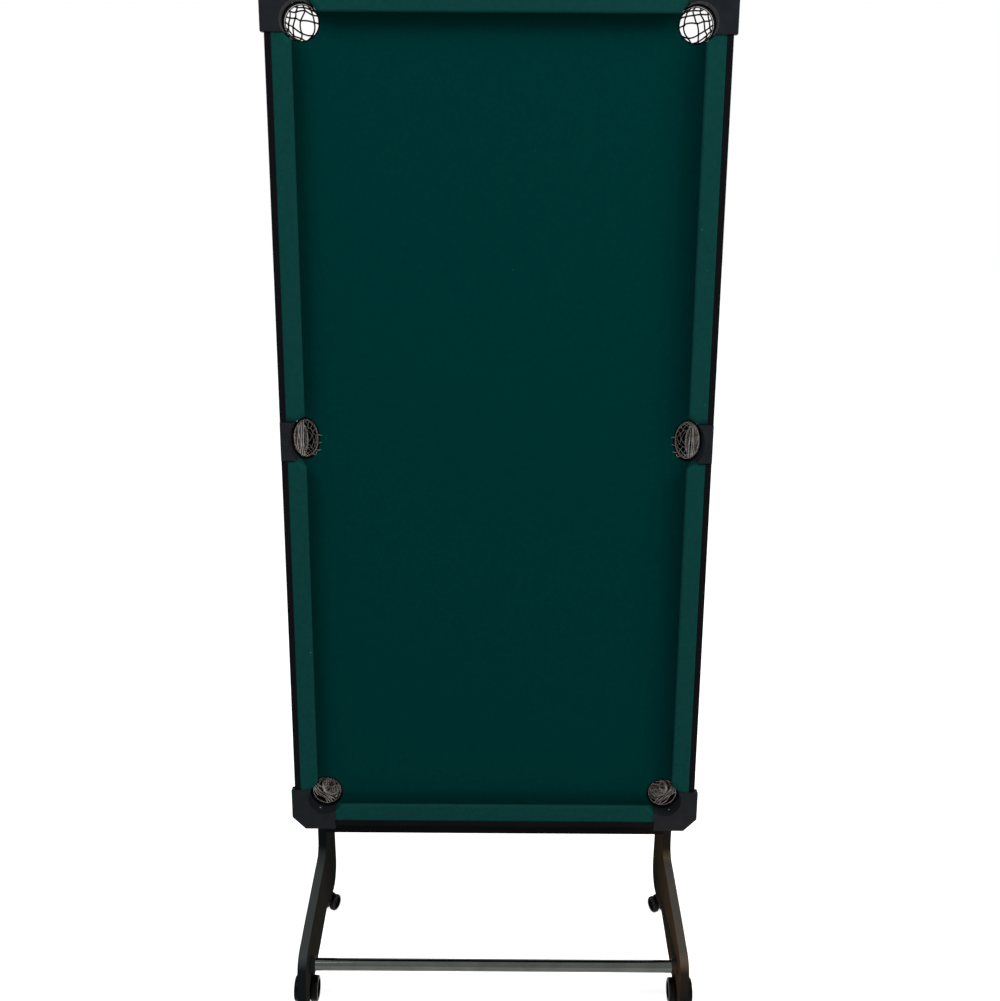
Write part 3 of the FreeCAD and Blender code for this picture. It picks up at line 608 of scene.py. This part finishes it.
def bowl(flat, half, depth, slack=0.0, waves=(), lean=(0.0, 0.0)):
    """Carries points of a flat disc of radius 1 onto a bag whose mouth has the given half widths.

    At a distance t from the disc's middle, with a = t pi / 2, the bag's half width is sin(a)^0.6 of
    the mouth's and its depth is cos(a)^0.6 of the whole. Slow sine waves crumple it: most in the
    middle, not at all at the mouth, and it stays inside the bag's own half width at each depth,
    (1 - share^(2 / 0.6))^0.3.
    A lean gathers it towards one side: x' = x (1 - |lean|) + lean half."""
    t = np.clip(np.linalg.norm(flat, axis=-1), BOWL_MIDDLE, 1)
    a = t * math.pi / 2
    wide = np.sin(a) ** BOWL_POWER / t
    down = np.abs(np.cos(a)) ** BOWL_POWER
    spot = np.stack([flat[..., 0] * wide * half[0], down * depth, flat[..., 1] * wide * half[1]], -1)
    for way, pace, phase in waves:
        spot += (slack * (1 - t ** 4) * np.sin(flat @ pace + phase))[..., None] * way
    share = np.clip(spot[..., 1] / depth, 0, BOWL_FLOOR)
    widest = (1 - share ** (2 / BOWL_POWER)) ** (BOWL_POWER / 2)
    over = np.maximum(np.hypot(spot[..., 0] / half[0], spot[..., 2] / half[1]) / widest, 1)
    x = spot[..., 0] / over * (1 - abs(lean[0])) + lean[0] * half[0]
    z = spot[..., 2] / over * (1 - abs(lean[1])) + lean[1] * half[1]
    return np.stack([x, np.clip(spot[..., 1], 0, depth), z], -1)


def netting(mesh, turn):
    """Square netting cut to a disc of radius 1: its knots, and the two ends of each cord.

    A cord that leaves the disc stops on its edge, at the s where |a + s d| = 1."""
    count = int(NET_REACH / mesh) + 1
    line = (np.arange(-count, count) + 0.5) * mesh
    grid = np.stack(np.meshgrid(line, line, indexing="ij"), -1)
    grid = grid + rng.normal(0, KNOT_STRAY * mesh, grid.shape)
    c, s = math.cos(turn), math.sin(turn)
    grid = grid @ np.array([[c, s], [-s, c]])
    along = np.stack([grid[:-1], grid[1:]], 2).reshape(-1, 2, 2)
    across = np.stack([grid[:, :-1], grid[:, 1:]], 2).reshape(-1, 2, 2)
    cords = np.concatenate([along, across])
    inside = np.linalg.norm(cords, axis=-1) < 1
    cords = np.where(inside[:, :1, None], cords, cords[:, ::-1])[inside.any(axis=1)]
    a, d = cords[:, 0], cords[:, 1] - cords[:, 0]
    dd, ad, aa = (d * d).sum(-1), (a * d).sum(-1), (a * a).sum(-1) - 1
    reach = np.minimum((np.sqrt(np.maximum(ad * ad - dd * aa, 0)) - ad) / dd, 1)
    cords = np.stack([a, a + reach[:, None] * d], 1)
    return grid[np.linalg.norm(grid, axis=-1) < 1], cords


def fold(centre, half, depth, mesh_mm, turn, slack_mm, lean, cord_mm=CORD_MM):
    """One fold of knotted netting laid in a bag. The netting's own radius is the mouth's and 0.85
    of the depth."""
    reach = half.mean() + DEPTH_SHARE * depth
    waves = [(rng.normal(0, WAVE_WAY, 3), rng.normal(0, WAVE_PACE, 2), rng.uniform(0, WAVE_PHASE))
             for _ in range(WAVES)]
    knots, cords = netting(mesh_mm * MM / reach, math.radians(turn))
    s = np.linspace(0, 1, CORD_POINTS)[None, :, None]
    paths = cords[:, :1] * (1 - s) + cords[:, 1:] * s
    laid = centre + bowl(paths, half, depth, slack_mm * MM, waves, lean)
    tied = centre + bowl(knots, half, depth, slack_mm * MM, waves, lean)
    return [tubes(laid, cord_mm * MM), beads(tied, KNOT_SHARE * cord_mm * MM)]


def strands(centre, half, toward):
    """Loose border strands across the mouth on its corner side.

    Each is a chord at a distance d from the mouth's middle, p = (d + bow) toward + s sqrt(1 - d^2)
    across. It lies deeper in the pocket than its ends by 1 to 5 mm times (1 - s^2)."""
    d = np.array(STRANDS)[:, None]
    s = np.linspace(-STRAND_REACH, STRAND_REACH, STRAND_POINTS)[None, :]
    each = (len(STRANDS), 1)
    bow = rng.uniform(0.02, 0.1, each) * np.cos(s * math.pi / 2) + rng.normal(0, 0.04, each) * np.sin(4 * s)
    run = s * np.sqrt(1 - d ** 2)
    u = (d + bow) * toward[0] - run * toward[1]
    v = (d + bow) * toward[1] + run * toward[0]
    sag = rng.uniform(1.0, 5.0, each) * MM * (1 - s ** 2)
    paths = centre + np.stack([u * half[0], sag, v * half[1]], -1)
    return tubes(paths, STRAND_RADIUS)


def threads(centre, half, side):
    """Fine threads that tie a side pocket's net over the bed's edge. Each starts on the mouth at
    its angle and runs inwards across the table, lying on the cloth."""
    s = np.linspace(0, 1, THREAD_POINTS)
    paths = []
    for angle, reach_mm in THREADS:
        a = math.radians(angle)
        across = side * (half[0] * math.cos(a) - reach_mm * MM * s)
        along = half[1] * math.sin(a) + THREAD_STRAY * np.sin(3 * s + angle)
        above = (BED_Y - centre[1] - THREAD_RADIUS) * np.minimum(s / THREAD_RISE, 1)
        paths.append(centre + np.stack([across, above, along], -1))
    return tubes(np.array(paths), THREAD_RADIUS)


def net(name, folds, finish, toward=None, tied=0, lift=0.0):
    """A pocket's net: a cord round the mouth, and folds of netting. Returns the bag's middle, half
    widths and depth.

    Each fold is (mesh in mm, turn in degrees, share of the depth, slack in mm, lean), then its
    cord's radius in mm where it differs. A lift draws the mouth up inside the pocket's ring, and
    narrows it so that it clears the ring."""
    low, high = (np.array(c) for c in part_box(name))
    centre = np.array([(low[0] + high[0]) / 2, low[1] + HEM_INSET, (low[2] + high[2]) / 2])
    half = (high[[0, 2]] - low[[0, 2]]) / 2 - HEM_INSET - CUP_PLAY
    deepest = high[1] - low[1] - BAG_ROOM
    mouth = centre - np.array([0, lift, 0])
    inside = half * (LIFTED_SHARE if lift else 1)
    shapes = []
    for mesh_mm, turn, share, slack_mm, *rest in folds:
        shapes += fold(mouth, inside, share * (deepest + lift), mesh_mm, turn, slack_mm, *rest)
    if toward is not None:
        shapes.append(strands(mouth, inside, toward))
    if tied:
        shapes.append(threads(mouth, inside, tied))
    a = np.linspace(0, 2 * math.pi, HEM_POINTS)
    hem = mouth + np.stack([inside[0] * np.cos(a), np.zeros_like(a), inside[1] * np.sin(a)], -1)
    shapes.append(tubes(hem[None], (HEM_DRAWN if lift else HEM_FREE) * CORD_RADIUS))
    piece(name + "_cords", shapes, "top", finish, [name])
    return centre, half, deepest


def dark_shade_bowl(name, centre, half, deepest):
    """A dark closed bowl, painted shade, put behind the nets of the side and near pockets where they
    show only shade: thin, round the net, with a straight collar up to the pocket's ring."""
    theta = np.linspace(0, 2 * math.pi, CUP_SIDES, endpoint=False)
    t = np.linspace(0, 1, CUP_RINGS)[:, None]
    disc = t[..., None] * np.stack([np.cos(theta), np.sin(theta)], -1)[None]
    collar = np.array([0, HEM_INSET + COLLAR, 0])
    walls = []
    for thick in (0.0, CUP_WALL):
        wall = centre + bowl(disc, half + CUP_ROOM + thick, deepest + CUP_ROOM + thick)
        walls.append(np.concatenate([wall, wall[-1:] - collar]))
    shapes = [(wall, grid_faces(CUP_RINGS + 1, CUP_SIDES, wrap_columns=True)) for wall in walls]
    rim = np.stack([wall[-1] for wall in walls])
    shapes.append((rim, grid_faces(2, CUP_SIDES, wrap_columns=True)))
    piece(name + "_shade_shell", shapes, "top", RING_ABS, merge=MERGE_SMALL)


TAPE_REACH = 0.86
TAPE_POINTS = 50
TAPE_ROWS = 8
TAPE_WIDTH_MM = 6.5
TAPE_THICK = 0.7 * MM
TAPE_WALL = 0.97


def tape(name, centre, half, side):
    """The woven tape that lies loose along the outer side of a side pocket's net.

    Its middle line is x = 13 mm + 4 mm (1 - z^2) and two small sines, held inside the net's mouth.
    It lies 12 mm deep at its inner edge and 5 mm at its outer one, and deeper towards its ends by 6
    mm z^2."""
    z = np.linspace(-TAPE_REACH, TAPE_REACH, TAPE_POINTS)[None, :]
    w = np.linspace(0, 1, TAPE_ROWS)[:, None]
    wall = half[0] * np.sqrt(1 - z ** 2) * TAPE_WALL
    creased = 1.3 * MM * np.sin(5 * z + 1) + 0.6 * MM * np.sin(17 * z)
    x = np.minimum(13 * MM + 4 * MM * (1 - z ** 2) + creased + (w - 0.5) * TAPE_WIDTH_MM * MM, wall)
    y = (12 - 7 * w) * MM + 1.6 * MM * np.sin(9 * z + 3 * w) + 6 * MM * z ** 2
    face = centre + np.stack(np.broadcast_arrays(side * x, y, z * half[1]), -1)
    back = face + np.array([0, TAPE_THICK, 0])
    edges = [np.stack([face[0], back[0]]), np.stack([face[-1], back[-1]]),
             np.stack([face[:, 0], back[:, 0]]), np.stack([face[:, -1], back[:, -1]])]
    shapes = [(p, grid_faces(TAPE_ROWS, TAPE_POINTS)) for p in (face, back)]
    shapes += [(p, grid_faces(2, p.shape[1])) for p in edges]
    piece(name + "_tape", shapes, "top", TAPE, merge=MERGE_SMALL)


for side_name, side in SIDES.items():
    # The far net takes the darker copy of the cord: painted shade.
    net("net_" + side_name + "_far", [(27, 12 * side, 0.6, 2.0, (0, 0), 1.6)], CORD_PAINTED_SHADE)

    middle = "net_side_" + side_name
    gathered = (0.46 * side, -0.1)
    folds = [
        (10, 45, 0.34, 1.2, (0, 0), 0.9),
        (10, 20, 0.5, 6.0, gathered, 1.1),
        (9, 35, 0.2, 4.0, gathered, 1.0),
    ]
    centre, half, deepest = net(middle, folds, CORD, (side, 0), tied=side, lift=LIFT)
    # A dark bowl behind the side net: painted shade.
    dark_shade_bowl(middle, centre, half, deepest)
    tape(middle, centre - np.array([0, LIFT, 0]), half * LIFTED_SHARE, side)

    corner = "net_" + side_name + "_near"
    inward = (-0.32 * side, 0.3)
    folds = [
        (12, 40, 0.95, 3.0, (-0.16 * side, 0.16)),
        (11, 75, 0.5, 6.0, inward),
        (12, 10, 0.28, 5.0, inward),
    ]
    toward = np.array([side, -1]) / math.sqrt(2)
    # A dark bowl behind the near net: painted shade.
    dark_shade_bowl(corner, *net(corner, folds, CORD, toward, lift=LIFT))


# Cap screws

SCREW_RADIUS = 3.6 * MM
SCREW_DOME = 1.7 * MM
SCREW_SEAT = 0.3 * MM
SCREW_DEPTH = 24.0 * MM
SCREW_TURN = 67.0
SCREW_RINGS = 22
SCREW_SIDES = 72
# The cross recess: its half width and reach in screw radii, and its depth in domes
CROSS_HALF = 0.16
CROSS_REACH = 0.62
CROSS_DEPTH = 0.55


def screw_head(centre, toward):
    """A domed head with a cross recess, facing along `toward`, a direction in the plane of the
    table.

    Its height is dome (1 - r^2), less a recess of 0.55 of the dome where a cross of half width 0.16
    runs, r < 0.62."""
    r = np.linspace(0, 1, SCREW_RINGS)[:, None]
    theta = np.linspace(0, 2 * math.pi, SCREW_SIDES, endpoint=False)[None, :]
    u, v = r * np.cos(theta), r * np.sin(theta)
    cross = np.minimum(np.abs(u), np.abs(v)) < CROSS_HALF
    sunk = np.where(cross & (r < CROSS_REACH), CROSS_DEPTH, 0.0)
    height = SCREW_DOME * (1 - r ** 2) - SCREW_DOME * sunk
    right = np.array([-toward[1], toward[0]])
    shapes = []
    for level in (height, np.full_like(height, -SCREW_SEAT)):
        x = centre[0] + u * SCREW_RADIUS * right[0] + level * toward[0]
        z = centre[2] + u * SCREW_RADIUS * right[1] + level * toward[1]
        y = centre[1] + v * SCREW_RADIUS
        shapes.append((np.stack([x, y, z], -1), grid_faces(SCREW_RINGS, SCREW_SIDES, wrap_columns=True)))
    wall = np.stack([shapes[0][0][-1], shapes[1][0][-1]])
    shapes.append((wall, grid_faces(2, SCREW_SIDES, wrap_columns=True)))
    return shapes


def cap_screws():
    """One screw on each cap's curtain, facing the middle of its pocket.

    A flat seat of the screw's radius r meets the pocket's circle of radius R at sqrt(R^2 - r^2)
    from its middle."""
    shapes = []
    y = RAIL_TOP_Y + SCREW_DEPTH
    reach = math.sqrt(POCKET_RADIUS ** 2 - SCREW_RADIUS ** 2)
    turn = math.radians(SCREW_TURN)
    for side in SIDES.values():
        for end, edge in END_EDGES.items():
            away = np.array([side * math.cos(turn), end * math.sin(turn)])
            x = side * (INNER_X - POCKET_INSET) + reach * away[0]
            z = edge - end * POCKET_INSET + reach * away[1]
            shapes += screw_head((x, y, z), -away)
    piece("cap_screw_heads", shapes, "top", CHROME, ["cap_screws"], merge=MERGE_SCREW)


cap_screws()


# Camera, as the photograph was taken. Distances are in metres and angles in degrees, and
# CAMERA_BACK is from the rail tops.

FOCAL_PX = 1170.0
IMAGE_PX = 1000.0
SENSOR_MM = 36.0
CAMERA_BACK = 2.442
CAMERA_HEIGHT = 1.750
CAMERA_ACROSS = 0.008
PITCH = 14.43
ROLL = 0.37


def set_camera():
    """Makes the scene's camera. Its lens in mm is the focal length in pixels over the image's
    width, times the sensor's width."""
    data = bpy.data.cameras.new("camera")
    data.sensor_fit = "HORIZONTAL"
    data.sensor_width = SENSOR_MM
    data.lens = FOCAL_PX / IMAGE_PX * SENSOR_MM
    camera = bpy.data.objects.new("camera", data)
    camera.location = (CAMERA_ACROSS, RAIL_TOP_Y - CAMERA_BACK, CAMERA_HEIGHT)
    turn = Euler((math.radians(90 - PITCH), 0, 0), "XYZ").to_matrix()
    roll = Euler((0, 0, math.radians(ROLL)), "XYZ").to_matrix()
    camera.rotation_euler = (turn @ roll).to_euler()
    bpy.context.scene.collection.objects.link(camera)
    bpy.context.scene.camera = camera


# Room

FLOOR_HALF = 30.0
FLOOR_GLOW = 0.75
WORLD_LIGHT = 0.45
WORLD_WHITE = 1.0


def by_ray(tree, kind, lighting, seen):
    """Ends a tree in an output where camera and glossy rays meet `seen`, and all others meet
    `lighting`."""
    path = add(tree, "ShaderNodeLightPath")
    direct = add(tree, "ShaderNodeMath", {"operation": "MAXIMUM"}, i0=(path, "Is Camera Ray"),
                 i1=(path, "Is Glossy Ray"))
    mix = add(tree, "ShaderNodeMixShader", i0=(direct, "Value"), i1=lighting, i2=seen)
    add(tree, kind, Surface=(mix, "Shader"))


def set_floor():
    """A plain pale floor that the camera and shiny parts see as white outside the object's
    shadow."""
    corners = [(x * FLOOR_HALF, y * FLOOR_HALF, 0) for x, y in ((-1, -1), (1, -1), (1, 1), (-1, 1))]
    mesh = bpy.data.meshes.new("floor")
    mesh.from_pydata(corners, [], [(0, 1, 2, 3)])
    floor = bpy.data.objects.new("floor", mesh)
    bpy.context.scene.collection.objects.link(floor)
    material = bpy.data.materials.new("pale_floor")
    tree = fresh_tree(material)
    matt = add(tree, "ShaderNodeBsdfDiffuse", {"Color": linear("F4F4F4")})
    glow = add(tree, "ShaderNodeEmission", {"Color": linear("FFFFFF"), "Strength": FLOOR_GLOW})
    both = add(tree, "ShaderNodeAddShader", i0=(matt, "BSDF"), i1=(glow, "Emission"))
    by_ray(tree, "ShaderNodeOutputMaterial", (matt, "BSDF"), (both, "Shader"))
    mesh.materials.append(material)


def set_world():
    """A plain world that lights softly, and that the camera and shiny parts see as white."""
    world = bpy.data.worlds.new("studio")
    bpy.context.scene.world = world
    tree = fresh_tree(world)
    light = add(tree, "ShaderNodeBackground", {"Color": linear("F2F4F6"), "Strength": WORLD_LIGHT})
    white = add(tree, "ShaderNodeBackground", {"Color": linear("FFFFFF"), "Strength": WORLD_WHITE})
    by_ray(tree, "ShaderNodeOutputWorld", (light, "Background"), (white, "Background"))


def set_lamp(name, place, target, size, power, colour, spread=180):
    """A square lamp at `place` that faces `target`: size in metres, power in watts, spread in
    degrees."""
    data = bpy.data.lights.new(name, "AREA")
    data.shape = "SQUARE"
    data.size = size
    data.spread = math.radians(spread)
    data.energy = power
    data.color = linear(colour)[:3]
    lamp = bpy.data.objects.new(name, data)
    lamp.location = place
    away = np.array(place) - np.array(target)
    tilt = math.atan2(math.hypot(away[0], away[1]), away[2])
    lamp.rotation_euler = (tilt, 0, math.atan2(away[0], -away[1]))
    bpy.context.scene.collection.objects.link(lamp)


set_camera()
set_floor()
set_world()
set_lamp("key", (-2.0, -2.0, 4.2), (0, 0, 1.1), size=1.7, power=76, colour="F4F8FF")
set_lamp("fill", (2.9, -1.6, 3.8), (0, 0, 1.1), size=1.7, power=120, colour="FFF6EC")
set_lamp("warm", (-0.35, -1.6, 0.15), (0.45, -0.05, 0.18), size=0.12, power=0.4, colour="FFAC48", spread=13)

bpy.context.scene.view_settings.view_transform = "Standard"
